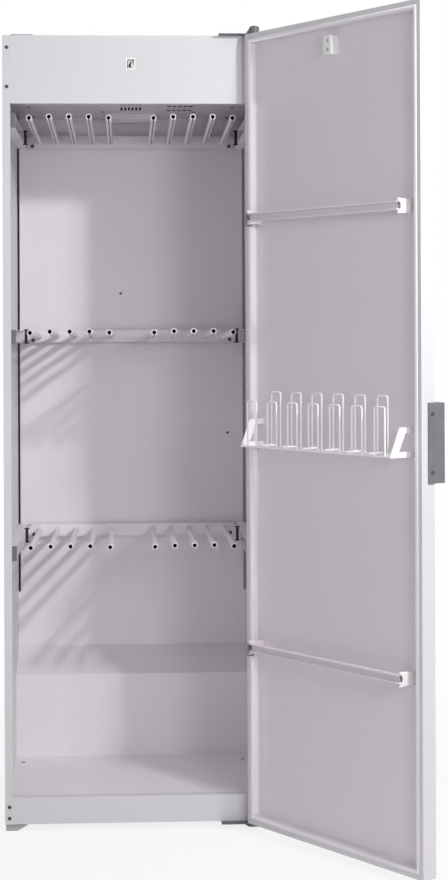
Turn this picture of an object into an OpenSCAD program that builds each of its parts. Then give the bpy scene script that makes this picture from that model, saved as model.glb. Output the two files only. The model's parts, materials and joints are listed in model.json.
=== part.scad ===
// Tall drying cabinet with its door open: folded sheet steel body, three pull-out peg racks,
// a door with two bars and a glove holder, and a fan and heater above the ceiling.
// Millimetres. X = 0 is the middle of the body, Y = 0 its front, Z = 0 the floor.

/* [Body] */
// Width of the cabinet and of its door
cabinet_w = 595; // [585:1:640]
// Height of the cabinet above its feet
cabinet_h = 1827; // [1815:1:1900]
// Depth of the cabinet without its door
cabinet_d = 570; // [566:1:620]
// Thickness of the sheet steel
sheet = 1.2; // [0.8:0.1:1.4]
// Width of the front edge beside the opening
stile_w = 18; // [17:0.5:22]
// Depth of the folded lip behind each front edge
lip_d = 12; // [6:1:18]
// Width of the folded edge that carries the rear panel
rear_flange_w = 15; // [10:1:25]
// Height of the fascia above the opening
fascia_h = 158; // [150:1:162]
// Height of the sill below the opening
sill_h = 62; // [50:1:80]
// Depth of the folds of fascia and sill
fold_d = 25; // [20:1:36]
// Rise of the ceiling above the lower edge of the fascia
ceiling_rise = 25.5; // [15:0.5:30]
// Depth of the air gap behind the inner back panel
air_gap = 8.4; // [6:0.2:14]
// Width of the air slot at each side of the inner back panel
corner_slot_w = 6; // [3:0.5:10]
// Height at which the corner slots end
corner_slot_z = 480; // [400:5:560]
// Depth of the low box along the back
duct_d = 134; // [100:1:160]
// Height of the box's front face
duct_h = 208; // [150:1:240]
// Rise of the box's sloping top
duct_slope_h = 52; // [30:1:80]

/* [Feet] */
// Height of the feet
foot_h = 17; // [14:1:30]
// Width of a foot at its top
foot_w = 51; // [44:1:54]
// Width of a foot at the floor
foot_pad_w = 27; // [20:1:34]
// Depth of a foot, front to back
foot_d = 45; // [36:1:60]

/* [Ceiling] */
// Number of air slots in each row
slot_count = 6; // [3:1:8]
// Distance between air slots
slot_pitch = 9.2; // [8:0.2:11]
// Width of an air slot
slot_w = 5.5; // [3:0.5:6.5]
// Length of an air slot
slot_l = 81; // [60:1:90]
// Width of the air deflector under the ceiling
deflector_w = 122; // [100:1:140]
// Depth of the air deflector, front to back
deflector_d = 128; // [110:1:140]
// Drop of the air deflector below the ceiling
deflector_drop = 13; // [8:1:18]
// Width of the gap at the rear of the deflector, where the air comes out
deflector_gap = 26; // [12:1:50]
// Diameter of the exhaust collar
collar_dia = 125; // [100:1:130]
// Height of the exhaust collar
collar_h = 45; // [30:1:60]
// Distance from the exhaust collar's axis to the rear
collar_from_rear = 92; // [80:1:110]

/* [Racks] */
// Distance of the upper rack's bar below the ceiling
rack_drop = 62.5; // [50:0.5:90]
// Distance between racks
rack_pitch = 504; // [450:1:505]
// Pegs at each side of a rack's middle
pegs_per_side = 5; // [3:1:5]
// Distance between pegs
peg_pitch = 46.5; // [38:0.5:54]
// Distance from a rack's arm to its outer peg
peg_from_arm = 31.15; // [24:0.25:60]
// Diameter of a peg
peg_dia = 14; // [11:0.5:16]
// Wall of a peg
peg_wall = 2.2; // [1.5:0.1:3]
// Length of a peg
peg_l = 500; // [400:1:505]
// Rise of the pegs towards the front, in degrees
peg_rise = 1.4; // [0.5:0.1:2]
// Width of the seam along the underside of a peg
peg_seam_w = 2.4; // [1:0.1:4]
// Height of the bar that carries the pegs
bar_h = 32; // [28:1:40]
// Depth of that bar
bar_d = 12; // [8:1:16]
// Height of a side rail
rail_h = 31; // [28:1:36]
// Width of a side rail
rail_w = 25.8; // [22:0.2:27]
// Thickness of rails, arms and bars
rail_t = 1.5; // [1:0.1:2]
// Distance from the front to a rail's end
rail_front_y = 25; // [22:1:40]
// Length of the arm that runs in a rail
arm_l = 156; // [120:1:180]
// Gap between an arm and its rail
arm_gap = 0.5; // [0.3:0.1:0.8]
// Height of a glide
glide_h = 36.4; // [34:0.2:42]
// Width of a glide
glide_w = 13; // [11:0.5:15]

/* [Door] */
// Thickness of the door
door_t = 36; // [32:1:40]
// Gap between the door and the body
door_gap = 4; // [4:0.5:6]
// Width of the flange round the door's inner face
door_flange_w = 20; // [16:1:24]
// Depth from that flange to the liner
liner_recess = 20; // [20:0.5:22]
// Distance from the hinge axis to the door's edge
hinge_inset = 11.5; // [11:0.5:12]
// Angle at which the door stands open
door_open = 124; // [90:1:170]
// Height above the floor of the upper bar's middle
bar_upper_z = 1417; // [1380:1:1450]
// Height above the floor of the lower bar's middle
bar_lower_z = 431; // [400:1:470]
// Distance of the door bars from the liner
bar_reach = 45; // [38:1:52]
// Height of a door bar
door_bar_h = 20; // [14:1:24]

/* [Glove holder] */
// Number of low glove loops; the tall ones stand between them
glove_count = 7; // [4:1:7]
// Distance from the liner's far edge to the glove holder
glove_inset_far = 26.7; // [20:0.1:60]
// Distance from the liner's edge at the hinge to the glove holder
glove_inset_near = 21.5; // [16:0.5:60]
// Width of a glove loop
glove_w = 37; // [28:1:44]
// Diameter of the wire
wire_dia = 4.4; // [3:0.2:5]
// Height above the floor of the wires' underside
glove_z = 892; // [850:1:930]
// Height of the tall loops
glove_tall_h = 124; // [100:1:150]
// Height of the low loops
glove_low_h = 103; // [70:1:110]
// Distance of the low loops from the liner
glove_depth = 60; // [40:1:66]

/* [Handle] */
// Length of the handle
handle_l = 168; // [120:1:220]
// Width of the handle's plate
handle_w = 48; // [42:1:56]
// Thickness of the handle
handle_t = 4; // [3:0.5:6]
// Length of the handle's finger lip
handle_lip = 32; // [24:1:40]
// Height above the floor of the handle's middle
handle_z = 923; // [850:1:1050]

/* [Hinges] */
// Diameter of a hinge pin
hinge_pin_dia = 14; // [12:0.5:14.5]
// Wall of a hinge bush
bush_wall = 1.4; // [1:0.1:1.5]
// Outer diameter of the upper hinge's collar
hinge_collar_dia = 23; // [22:0.5:24]
// Height of the upper hinge's collar above the body
hinge_collar_h = 17; // [12:1:24]
// Thickness of a hinge plate
hinge_plate_t = 2.5; // [2:0.1:3.5]

/* [Controls] */
// Height of the control panel's middle below the door's top
controls_drop = 78; // [70:1:100]
// Width of the control panel
bezel_w = 196; // [180:1:240]
// Height of the control panel
bezel_h = 62; // [58:1:70]
// Diameter of the timer knob
knob_dia = 44; // [36:1:50]
// Diameter of a push button
button_dia = 14; // [10:0.5:18]
// Travel of a push button
button_travel = 2; // [1:0.1:2.5]

/* [Fan and heater] */
// Diameter of the impeller
impeller_dia = 160; // [140:1:168]
// Number of impeller blades
blade_count = 24; // [12:1:30]
// Height of the fan housing
fan_h = 84; // [76:1:86]
// Diameter of the fan housing
fan_dia = 204; // [196:1:214]
// Diameter of the heating element's tube
element_dia = 8; // [6:0.5:9]
// Number of straight runs of the heating element
element_runs = 6; // [4:2:6]

/* [Hidden] */
$fn = 48;
eps = 0.01;
fit = 0.05;           // radial running clearance of a pin in its bush
weld = 0.1;           // clearance of a peg or screw in its hole

paint = [0.93, 0.93, 0.94];
paint_shade = [0.86, 0.86, 0.88];
black_plastic = [0.08, 0.08, 0.09];
grey_plastic = [0.55, 0.56, 0.58];
zinc = [0.75, 0.76, 0.78];
white_plastic = [0.95, 0.95, 0.95];

x_out = cabinet_w / 2;                     // outer face of a side
x_in = x_out - sheet;                      // inner face of a side
x_open = x_out - stile_w;                  // edge of the opening
z_top = foot_h + cabinet_h;                // top of the body
fascia_z = z_top - fascia_h;               // lower edge of the fascia
ceiling_z = fascia_z + ceiling_rise;       // underside of the ceiling
ceiling_top_z = ceiling_z + sheet;
sill_z = foot_h + sill_h;                  // top of the sill and the floor
rear_in_y = cabinet_d - 2 * sheet;         // inner face of the rear panel
back_y = rear_in_y - air_gap - sheet;      // front of the inner back panel
duct_y = back_y - duct_d;                  // front of the low box
duct_top_z = sill_z + duct_h + duct_slope_h;

rack_z = [for (n = [0 : 2]) ceiling_z - rack_drop - n * rack_pitch];
rail_x = x_in - rail_w;                    // open edge of a rail
arm_x = rail_x - 0.6;                      // inner face of an arm
peg_first = arm_x - peg_from_arm - (pegs_per_side - 1) * peg_pitch;
rail_back_y = back_y - 1;                  // rear end of a rail
arm_back_y = rail_back_y - 1;
bar_front_y = arm_back_y - 3 - bar_d;
bar_x = arm_x - 8;                         // end of a bar's full height
stop_cap_t = 3;
stop_plug_l = 15;

pivot_x = x_out - hinge_inset;
door_front_y = -door_gap - door_t;         // outer face of the shut door
pivot_y = -door_gap - door_t / 2 - 1;
door_lift = 0.6;                           // gap under and over the door
door_z0 = foot_h + door_lift;
door_z1 = z_top - door_lift;
liner_y = -door_gap - liner_recess;        // face of the liner, door shut
liner_x = x_out - door_flange_w;

bush_r = hinge_pin_dia / 2 + bush_wall;
hinge_plate_x = x_out - 94;                // inner edge of a hinge plate
hinge_leg_w = 40;
hinge_leg_d = 60;
hinge_edge = 1;
bearing_l = 28;                            // depth of a hinge pin in the door

controls_z = door_z1 - controls_drop;
bezel_t = 2;
bezel_body_d = 14;
knob_h = 18;
button_x = 62;
button_h = 9;

switch_z = z_top - 65.5;                   // middle of the opening in the fascia
switch_w = 24;
switch_h = 29.5;
catch_w = 27;
catch_h = 43;
catch_d = liner_recess + door_gap - 2;     // stops 2 mm short of the fascia
catch_z = z_top - 61;

fan_wall = 2;
motor_dia = 88;
shaft_r = 4;
heater_wall = 1.5;
element_pitch = 19;
deflector_y = back_y - deflector_d;
heater_y = deflector_y + 6;
heater_d = deflector_d - 8;
heater_w = deflector_w - 8;
heater_h = 74;
fan_y = heater_y - fan_dia / 2 - 56;

// ---------- shared shapes ----------

// Moves a piece of the shut door to where it stands open
module on_door() {
    translate([pivot_x, pivot_y, 0]) rotate([0, 0, door_open]) translate([-pivot_x, -pivot_y, 0])
        children();
}

// A box from one corner to the opposite one
module block(low, high) {
    translate(low) cube(high - low);
}

// A piece and its mirror image in X
module both_sides() {
    children();
    mirror([1, 0, 0]) children();
}

// A pan-head screw whose head sits at the origin and whose shank runs along -Z
module screw(head_r, head_h, shank_r, shank_l) {
    cylinder(r = head_r, h = head_h * 0.55);
    translate([0, 0, head_h * 0.55]) cylinder(r1 = head_r, r2 = head_r * 0.62, h = head_h * 0.45);
    translate([0, 0, -shank_l]) cylinder(r = shank_r, h = shank_l + eps);
}

module tube(r_out, r_in, h) {
    difference() {
        cylinder(r = r_out, h = h);
        translate([0, 0, -1]) cylinder(r = r_in, h = h + 2);
    }
}

// ---------- body ----------

stile_screw_x = x_out - 10.5;
stile_screw_z = [z_top - 28, z_top - 119, foot_h + 40, foot_h + 14];
screw_shank_r = 2;

module stile_screw_places() {
    for (z = stile_screw_z) translate([-stile_screw_x, 0, z]) rotate([90, 0, 0]) children();
}

// Right side, seen from above: wall, front edge with its lip, and rear flange
module side_outline() {
    translate([x_in, 0]) square([sheet, cabinet_d]);
    translate([x_open, 0]) square([stile_w, sheet]);
    translate([x_in - rear_flange_w, cabinet_d - sheet]) square([rear_flange_w + sheet, sheet]);
}

module side_shell() {
    translate([0, 0, foot_h]) linear_extrude(cabinet_h) side_outline();
    block([x_open, 0, foot_h + sheet], [x_open + sheet, lip_d, z_top - sheet]);
}

module side_right() {
    color(paint) side_shell();
}

module side_left() {
    color(paint) difference() {
        mirror([1, 0, 0]) side_shell();
        stile_screw_places() cylinder(r = screw_shank_r + weld, h = 8, center = true);
    }
}

wall_hole_x = x_out - 67.5;
wall_hole_r = 3.25;
wall_hole_z = z_top - 24;
gland_x = x_out - 97.5;
gland_z = z_top - 54;
gland_r = 10;
cable_r = 4.5;

module rear_panel() {
    color(paint_shade) difference() {
        block([-x_in, rear_in_y, foot_h + sheet], [x_in, cabinet_d - sheet, z_top - sheet]);
        both_sides() translate([wall_hole_x, cabinet_d, wall_hole_z]) rotate([90, 0, 0])
            cylinder(r = wall_hole_r, h = 20, center = true);
        translate([gland_x, cabinet_d, gland_z]) rotate([90, 0, 0])
            cylinder(r = gland_r, h = 20, center = true);
    }
}

collar_y = cabinet_d - collar_from_rear;
collar_wall = 1.2;
collar_rim = 14;

module top_panel() {
    color(paint) difference() {
        block([-x_in, sheet, z_top - sheet], [x_in, cabinet_d - sheet, z_top]);
        translate([0, collar_y, z_top]) cylinder(r = collar_dia / 2 - collar_wall, h = 8, center = true);
        hinge_screw_places() cylinder(r = screw_shank_r + weld, h = 12, center = true);
    }
}

module base_panel() {
    color(paint_shade) difference() {
        block([-x_in, sheet, foot_h], [x_in, cabinet_d - sheet, foot_h + sheet]);
        base_screw_places() cylinder(r = screw_shank_r + weld, h = 12, center = true);
    }
}

module fascia() {
    color(paint) difference() {
        union() {
            block([-x_open, 0, fascia_z], [x_open, sheet, z_top]);
            block([-x_open, 0, fascia_z], [x_open, fold_d, fascia_z + sheet]);
            block([-x_open, fold_d - sheet, fascia_z], [x_open, fold_d, ceiling_top_z]);
        }
        translate([-switch_w / 2, -1, switch_z - switch_h / 2]) cube([switch_w, sheet + 2, switch_h]);
    }
}

module sill() {
    color(paint) {
        block([-x_open, 0, foot_h], [x_open, sheet, sill_z]);
        block([-x_open, 0, sill_z - sheet], [x_open, fold_d, sill_z]);
    }
}

floor_hole_r = 6.5;
floor_hole_x = x_out - 22.5;
floor_hole_y = duct_y - 59;

module floor_pan() {
    color(paint) difference() {
        block([-x_in, fold_d, sill_z - sheet], [x_in, rear_in_y, sill_z]);
        both_sides() translate([floor_hole_x, floor_hole_y, sill_z])
            cylinder(r = floor_hole_r, h = 10, center = true);
    }
}

slot_row_y = [fan_y - 98, fan_y + 15];
vent_pitch = 13.3;
vent_r = 3.6;
vent_x = 121;
vent_row_y = [fan_y - 8, fan_y + 75];
ceiling_screw_x = x_in - 45.3;
ceiling_screw_xy = [for (s = [-1, 1], y = [fan_y + 12, back_y - 48]) [s * ceiling_screw_x, y],
                    [-70, heater_y - 44], [158, heater_y - 44]];

module ceiling_screw_places() {
    for (p = ceiling_screw_xy) translate([p[0], p[1], ceiling_z]) rotate([180, 0, 0]) children();
}

module ceiling_panel() {
    color(paint_shade) difference() {
        block([-x_in, fold_d, ceiling_z], [x_in, back_y, ceiling_top_z]);
        for (y = slot_row_y, i = [0 : slot_count - 1])
            translate([(i - (slot_count - 1) / 2) * slot_pitch - slot_w / 2, y, ceiling_z - 1])
                cube([slot_w, slot_l, sheet + 2]);
        for (y = vent_row_y, i = [-2 : 2])
            translate([vent_x + i * vent_pitch, y, ceiling_z - 1]) cylinder(r = vent_r, h = sheet + 2, $fn = 24);
        translate([-heater_w / 2 + 6, heater_y + 6, ceiling_z - 1])
            cube([heater_w - 12, heater_d - 12, sheet + 2]);
        ceiling_screw_places() cylinder(r = screw_shank_r + weld, h = 12, center = true);
    }
}

spacer_r = 10;
spacer_x = x_in - 116.3;
spacer_z = [corner_slot_z + 220, (corner_slot_z + ceiling_z) / 2 + 104, ceiling_z - 61.5];
back_screw_xz = [[-28, 1256], [250, 891]];

module back_screw_places() {
    for (p = back_screw_xz) translate([p[0], back_y, p[1]]) rotate([90, 0, 0]) children();
}

module inner_back_panel() {
    slot_edge_x = x_in - corner_slot_w;
    color(paint) difference() {
        union() {
            block([-slot_edge_x, back_y, corner_slot_z], [slot_edge_x, back_y + sheet, ceiling_top_z]);
            block([-x_in, back_y, duct_top_z], [x_in, back_y + sheet, corner_slot_z + eps]);
        }
        back_screw_places() cylinder(r = screw_shank_r + weld, h = 12, center = true);
    }
    color(paint) for (x = [-spacer_x, spacer_x], z = spacer_z)
        translate([x, back_y + sheet, z]) rotate([-90, 0, 0]) cylinder(r = spacer_r, h = air_gap);
}

duct_lip_h = 20;

module rear_duct() {
    y0 = duct_y;
    y1 = back_y + sheet;
    z0 = sill_z;
    z1 = sill_z + duct_h;
    z2 = duct_top_z;
    color(paint) rotate([90, 0, 90]) translate([0, 0, -x_in]) linear_extrude(2 * x_in)
        polygon([[y0, z0], [y0, z1], [y1, z2], [y1, z2 + duct_lip_h], [y1 + sheet, z2 + duct_lip_h],
                 [y1 + sheet, z2 - sheet], [y0 + sheet, z1 - sheet], [y0 + sheet, z0]]);
}

module air_deflector() {
    color(paint) difference() {
        block([-deflector_w / 2, deflector_y, ceiling_z - deflector_drop],
              [deflector_w / 2, back_y, ceiling_z]);
        block([-deflector_w / 2 + sheet, deflector_y + sheet, ceiling_z - deflector_drop + sheet],
              [deflector_w / 2 - sheet, back_y - sheet, ceiling_z + 1]);
        block([-deflector_w / 2 + sheet, back_y - deflector_gap, ceiling_z - deflector_drop - 1],
              [deflector_w / 2 - sheet, back_y + 1, ceiling_z - 3]);
    }
}

foot_edge = 1.5;
foot_front_y = 8;
foot_rear_y = cabinet_d - 8 - foot_d;

module foot() {
    outer = x_out - foot_edge;
    rotate([90, 0, 0]) translate([0, 0, -foot_d]) linear_extrude(foot_d)
        polygon([[outer, foot_h], [outer - foot_w, foot_h], [outer - foot_w, foot_h - 3],
                 [outer - foot_pad_w, 0], [outer - 1, 0], [outer, 2]]);
}

module feet() {
    color(white_plastic) for (y = [foot_front_y, foot_rear_y])
        both_sides() translate([0, y, 0]) foot();
}

module body_screws() {
    color(zinc) {
        stile_screw_places() screw(4.2, 1.8, screw_shank_r, 7);
        ceiling_screw_places() screw(4, 2, screw_shank_r, 7);
        back_screw_places() screw(3.4, 1.6, screw_shank_r, 7);
        hinge_screw_places() translate([0, 0, hinge_plate_t]) screw(4.6, 2.2, screw_shank_r, 12);
        base_screw_places() rotate([180, 0, 0]) translate([0, 0, hinge_plate_t])
            screw(4.6, 2.2, screw_shank_r, 12);
    }
}

// ---------- racks ----------

module rail() {
    difference() {
        block([rail_x, rail_front_y, -rail_h / 2], [x_in, rail_back_y, rail_h / 2]);
        block([rail_x - 1, rail_front_y - 1, -rail_h / 2 + rail_t],
              [x_in - rail_t, rail_back_y + 1, rail_h / 2 - rail_t]);
    }
}

module rails() {
    color(paint) for (z = rack_z) translate([0, 0, z]) both_sides() rail();
}

module rail_stop() {
    block([rail_x - 1.5, rail_front_y - stop_cap_t, -rail_h / 2 - 1.5],
          [x_in - 0.2, rail_front_y, rail_h / 2 + 1.5]);
    block([rail_x + 1, rail_front_y - eps, -rail_h / 2 + rail_t + 0.2],
          [x_in - rail_t - 0.2, rail_front_y + stop_plug_l, rail_h / 2 - rail_t - 0.2]);
}

module rail_stops() {
    color(grey_plastic) for (z = rack_z) translate([0, 0, z]) both_sides() rail_stop();
}

// The outer and the middle pegs of a rack rise a little less than the others
function rise_of(i) = peg_rise - (i == 0 || i == pegs_per_side - 1 ? 0.3 : 0);

module peg_places() {
    for (side = [-1, 1], i = [0 : pegs_per_side - 1])
        translate([side * (peg_first + i * peg_pitch), bar_front_y + bar_d - 2, 0])
            rotate([90 - rise_of(i), 0, 0]) children();
}

module rack_pegs() {
    color(paint) peg_places() difference() {
        cylinder(r = peg_dia / 2, h = peg_l);
        translate([0, 0, -1]) cylinder(r = peg_dia / 2 - peg_wall, h = peg_l + 2);
        translate([-peg_seam_w / 2, -peg_dia, bar_d + 6]) cube([peg_seam_w, peg_dia, peg_l]);
    }
}

module rack_bar() {
    tongue_h = rail_h - 2 * rail_t - 5;
    back = bar_front_y + bar_d;
    color(paint) difference() {
        union() {
            difference() {
                block([-bar_x, bar_front_y, -bar_h / 2], [bar_x, back, bar_h / 2]);
                block([-bar_x - 1, bar_front_y + rail_t, -bar_h / 2 + rail_t],
                      [bar_x + 1, back + 1, bar_h / 2 - rail_t]);
            }
            block([-arm_x, bar_front_y, -tongue_h / 2], [arm_x, bar_front_y + rail_t, tongue_h / 2]);
        }
        peg_places() translate([0, 0, -5]) cylinder(r = peg_dia / 2 + weld, h = bar_d + 10);
    }
}

// A folded arm, open to the wall, that slides inside its rail
module rack_arm() {
    arm_h = rail_h - 2 * rail_t - 2 * arm_gap;
    outer = x_in - rail_t - 2.5;
    difference() {
        block([arm_x, arm_back_y - arm_l, -arm_h / 2], [outer, arm_back_y, arm_h / 2]);
        block([arm_x + rail_t, arm_back_y - arm_l - 1, -arm_h / 2 + rail_t],
              [outer + 1, arm_back_y + 1, arm_h / 2 - rail_t]);
    }
}

module rack_arms() {
    color(zinc) both_sides() rack_arm();
}

glide_back_y = arm_back_y - arm_l + 30;
glide_l = 12;
glide_web = 6;

module rack_glide() {
    middle_x = arm_x - glide_web / 2;
    flange_t = (glide_h - rail_h) / 2 - 0.3;
    block([arm_x - glide_web, glide_back_y - glide_l, -glide_h / 2], [arm_x, glide_back_y, glide_h / 2]);
    for (z = [-glide_h / 2, glide_h / 2 - flange_t])
        block([middle_x - glide_w / 2, glide_back_y - glide_l, z],
              [middle_x + glide_w / 2, glide_back_y, z + flange_t]);
}

module rack_glides() {
    color(black_plastic) both_sides() rack_glide();
}

module at_rack(n) {
    translate([0, 0, rack_z[n]]) children();
}

// ---------- hinges ----------

hinge_screw_y = [18, 46];

module hinge_screw_places() {
    for (y = hinge_screw_y) translate([hinge_plate_x + 16, y, z_top]) children();
}

module base_screw_places() {
    for (y = hinge_screw_y) translate([hinge_plate_x + 16, y, foot_h]) children();
}

// A plate screwed to the body, with an arm that reaches out to the hinge axis
module hinge_plate_outline() {
    translate([hinge_plate_x, hinge_edge]) square([hinge_leg_w, hinge_leg_d - hinge_edge]);
    translate([hinge_plate_x, pivot_y]) square([pivot_x - hinge_plate_x, hinge_edge - pivot_y + eps]);
    translate([pivot_x, pivot_y]) circle(r = hinge_collar_dia / 2);
    translate([pivot_x, pivot_y]) square([hinge_collar_dia / 2, hinge_edge - pivot_y]);
}

module hinge_plate_top() {
    color(zinc) difference() {
        union() {
            translate([0, 0, z_top]) linear_extrude(hinge_plate_t) hinge_plate_outline();
            translate([pivot_x, pivot_y, z_top]) cylinder(r = hinge_collar_dia / 2, h = hinge_collar_h);
            translate([pivot_x, pivot_y + 1, z_top + hinge_plate_t - eps]) rotate([90, 0, 0]) linear_extrude(2)
                polygon([[-20, 0], [-hinge_collar_dia / 2 + 1, 0], [-hinge_collar_dia / 2 + 1, hinge_collar_h - 4]]);
        }
        translate([pivot_x, pivot_y, z_top - 1]) cylinder(r = bush_r, h = hinge_collar_h + 2);
        hinge_screw_places() cylinder(r = screw_shank_r + weld, h = 12, center = true);
    }
}

module hinge_bush_top() {
    color(white_plastic) translate([pivot_x, pivot_y, z_top])
        tube(bush_r, hinge_pin_dia / 2 + fit, hinge_collar_h);
}

cable_bore_r = 4;

module hinge_pin_top() {
    color(zinc) on_door() translate([pivot_x, pivot_y, door_z1 - bearing_l])
        tube(hinge_pin_dia / 2, cable_bore_r, bearing_l + door_lift + hinge_collar_h + 2);
}

module hinge_plate_bottom() {
    color(zinc) difference() {
        translate([0, 0, foot_h - hinge_plate_t]) linear_extrude(hinge_plate_t) hinge_plate_outline();
        base_screw_places() cylinder(r = screw_shank_r + weld, h = 12, center = true);
    }
}

module hinge_pin_bottom() {
    color(zinc) translate([pivot_x, pivot_y, foot_h]) {
        cylinder(r = hinge_pin_dia / 2, h = bearing_l);
        cylinder(r = bush_r + 1, h = door_lift - 0.1);
    }
}

module hinge_bush_bottom() {
    color(white_plastic) on_door() translate([pivot_x, pivot_y, door_z0])
        tube(bush_r, hinge_pin_dia / 2 + fit, bearing_l);
}

blank_w = 52;

module hinge_blank() {
    color(zinc) block([-x_out + 19.5, hinge_edge, z_top],
                      [-x_out + 19.5 + blank_w, hinge_leg_d, z_top + hinge_plate_t]);
}

// ---------- door ----------

handle_screw_z = [handle_z + 61, handle_z - 61];
handle_screw_y = pivot_y - 8;

module handle_screw_places() {
    for (z = handle_screw_z) translate([-x_out, handle_screw_y, z]) rotate([0, -90, 0]) children();
}

module bezel_hole(clear) {
    block([-bezel_w / 2 + 4 - clear, door_front_y - 1, controls_z - bezel_h / 2 + 4 - clear],
          [bezel_w / 2 - 4 + clear, door_front_y + sheet + 1, controls_z + bezel_h / 2 - 4 + clear]);
}

module door_skin() {
    inner_y = -door_gap;
    color(paint) on_door() difference() {
        block([-x_out, door_front_y, door_z0], [x_out, inner_y, door_z1]);
        block([-x_in, door_front_y + sheet, door_z0 + sheet], [x_in, inner_y - sheet, door_z1 - sheet]);
        block([-liner_x, inner_y - sheet - 1, door_z0 + door_flange_w],
              [liner_x, inner_y + 1, door_z1 - door_flange_w]);
        bezel_hole(0);
        handle_screw_places() cylinder(r = screw_shank_r + weld, h = 8, center = true);
        translate([pivot_x, pivot_y, door_z1]) cylinder(r = hinge_pin_dia / 2 + weld, h = 8, center = true);
        translate([pivot_x, pivot_y, door_z0]) cylinder(r = bush_r + weld, h = 8, center = true);
    }
}

liner_lip = 9;

// A shallow tray whose lip is tucked behind the door's flange
module door_liner() {
    lip_y = -door_gap - sheet;
    color(paint) on_door() difference() {
        union() {
            block([-liner_x, liner_y - sheet, door_z0 + door_flange_w],
                  [liner_x, lip_y, door_z1 - door_flange_w]);
            block([-liner_x - liner_lip, lip_y - sheet, door_z0 + door_flange_w - liner_lip],
                  [liner_x + liner_lip, lip_y, door_z1 - door_flange_w + liner_lip]);
        }
        block([-liner_x + sheet, liner_y, door_z0 + door_flange_w + sheet],
              [liner_x - sheet, 1, door_z1 - door_flange_w - sheet]);
    }
}

door_bar_x0 = -x_out + 46;                 // far end of a door bar
door_bar_x1 = x_out - 39;                  // end of a door bar at the hinge
door_bar_d = 10;
bracket_t = 3;
bracket_h = 33;

module door_bars() {
    color(paint) on_door() for (z = [bar_upper_z, bar_lower_z]) translate([0, 0, z]) difference() {
        block([door_bar_x0, liner_y + bar_reach - door_bar_d, -door_bar_h / 2],
              [door_bar_x1, liner_y + bar_reach, door_bar_h / 2]);
        block([door_bar_x0 - 1, liner_y + bar_reach - door_bar_d + 2, -door_bar_h / 2 + 4],
              [door_bar_x1 + 1, liner_y + bar_reach + 1, door_bar_h / 2 - 4]);
    }
}

// A waisted bracket that stands on the liner and holds the end of a door bar
module bar_bracket_outline() {
    tip = 2.5;
    waist = 2;
    seat = bar_reach - door_bar_d;
    polygon([[0, 0], [seat / 2, waist], [bar_reach, 0], [bar_reach, tip],
             [seat, bracket_h / 2 - 4], [seat, bracket_h / 2 + 4], [bar_reach, bracket_h - tip],
             [bar_reach, bracket_h], [seat / 2, bracket_h - waist], [0, bracket_h]]);
}

module bar_brackets(x) {
    on_door() for (z = [bar_upper_z, bar_lower_z])
        translate([x, liner_y, z - bracket_h / 2]) rotate([90, 0, 90])
            linear_extrude(bracket_t) bar_bracket_outline();
}

module bar_brackets_far() {
    color(white_plastic) bar_brackets(door_bar_x0 - bracket_t);
}

module bar_brackets_near() {
    color(grey_plastic) bar_brackets(door_bar_x1);
}

glove_frame_x0 = -liner_x + glove_inset_far;
glove_frame_x1 = liner_x - glove_inset_near;
glove_end_far = 36;
glove_end_near = 35.5;
glove_x0 = glove_frame_x0 + glove_end_far;   // middle of the low loop furthest out
glove_pitch = (glove_frame_x1 - glove_end_near - glove_x0) / (glove_count - 1);
wire_r = wire_dia / 2;
glove_front_y = liner_y + wire_r + 0.3 + glove_depth;
glove_back_y = liner_y + 0.36 * glove_depth;
glove_leg_z = glove_z + wire_dia + 0.2;
glove_bracket_t = 2;
glove_bracket_h = 63;
glove_bracket_strip = 12;
glove_bracket_lean = 26;

// One upright loop of wire with a rounded top, standing on the frame
module wire_loop(h) {
    bend = 10;
    leg = glove_w / 2 - wire_r;
    top = h - bend - wire_r;
    both_sides() {
        translate([leg, 0, 0]) cylinder(r = wire_r, h = top, $fn = 24);
        translate([leg - bend, 0, top]) rotate([90, 0, 0])
            rotate_extrude(angle = 90) translate([bend, 0]) circle(r = wire_r, $fn = 24);
        translate([-eps, 0, top + bend]) rotate([0, 90, 0])
            cylinder(r = wire_r, h = leg - bend + 2 * eps, $fn = 24);
    }
}

// The tall loops stand in the gaps between the low ones
glove_low_x = [for (i = [0 : glove_count - 1]) glove_x0 + i * glove_pitch];
glove_tall_x = [for (i = [0 : glove_count - 2]) glove_x0 + (i + 0.5) * glove_pitch];

module glove_tall_loops() {
    color(paint) on_door() for (x = glove_tall_x)
        translate([x, glove_back_y, glove_leg_z]) wire_loop(glove_tall_h);
}

module glove_low_loops() {
    color(paint) on_door() for (x = glove_low_x)
        translate([x, glove_front_y, glove_leg_z]) wire_loop(glove_low_h);
}

// Side bracket: a sloping front with two feet that reach the liner
module glove_bracket_outline() {
    strip = glove_bracket_strip;
    lean = glove_bracket_lean;
    reach = glove_front_y - liner_y + strip / 3;
    difference() {
        polygon([[0, 0], [reach, 0], [reach, strip / 4], [reach - lean, glove_bracket_h],
                 [0, glove_bracket_h]]);
        polygon([[-1, strip], [reach - 2 * strip, strip],
                 [reach - lean - strip * 4 / 3, glove_bracket_h - strip],
                 [-1, glove_bracket_h - strip]]);
    }
}

module glove_frame() {
    color(paint) on_door() {
        for (x = [glove_frame_x0 - glove_bracket_t, glove_frame_x1])
            translate([x, liner_y, glove_z]) rotate([90, 0, 90])
                linear_extrude(glove_bracket_t) glove_bracket_outline();
        for (y = [glove_back_y, glove_front_y])
            translate([glove_frame_x0, y, glove_z + wire_r]) rotate([0, 90, 0])
                cylinder(r = wire_r, h = glove_frame_x1 - glove_frame_x0, $fn = 24);
        for (x = glove_tall_x)
            translate([x, glove_front_y + wire_r, glove_z + 3 * wire_r - 0.2])
                rotate([90, 0, 0])
                    cylinder(r = wire_r, h = glove_front_y - glove_back_y + 2 * wire_r, $fn = 24);
    }
}

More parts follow.
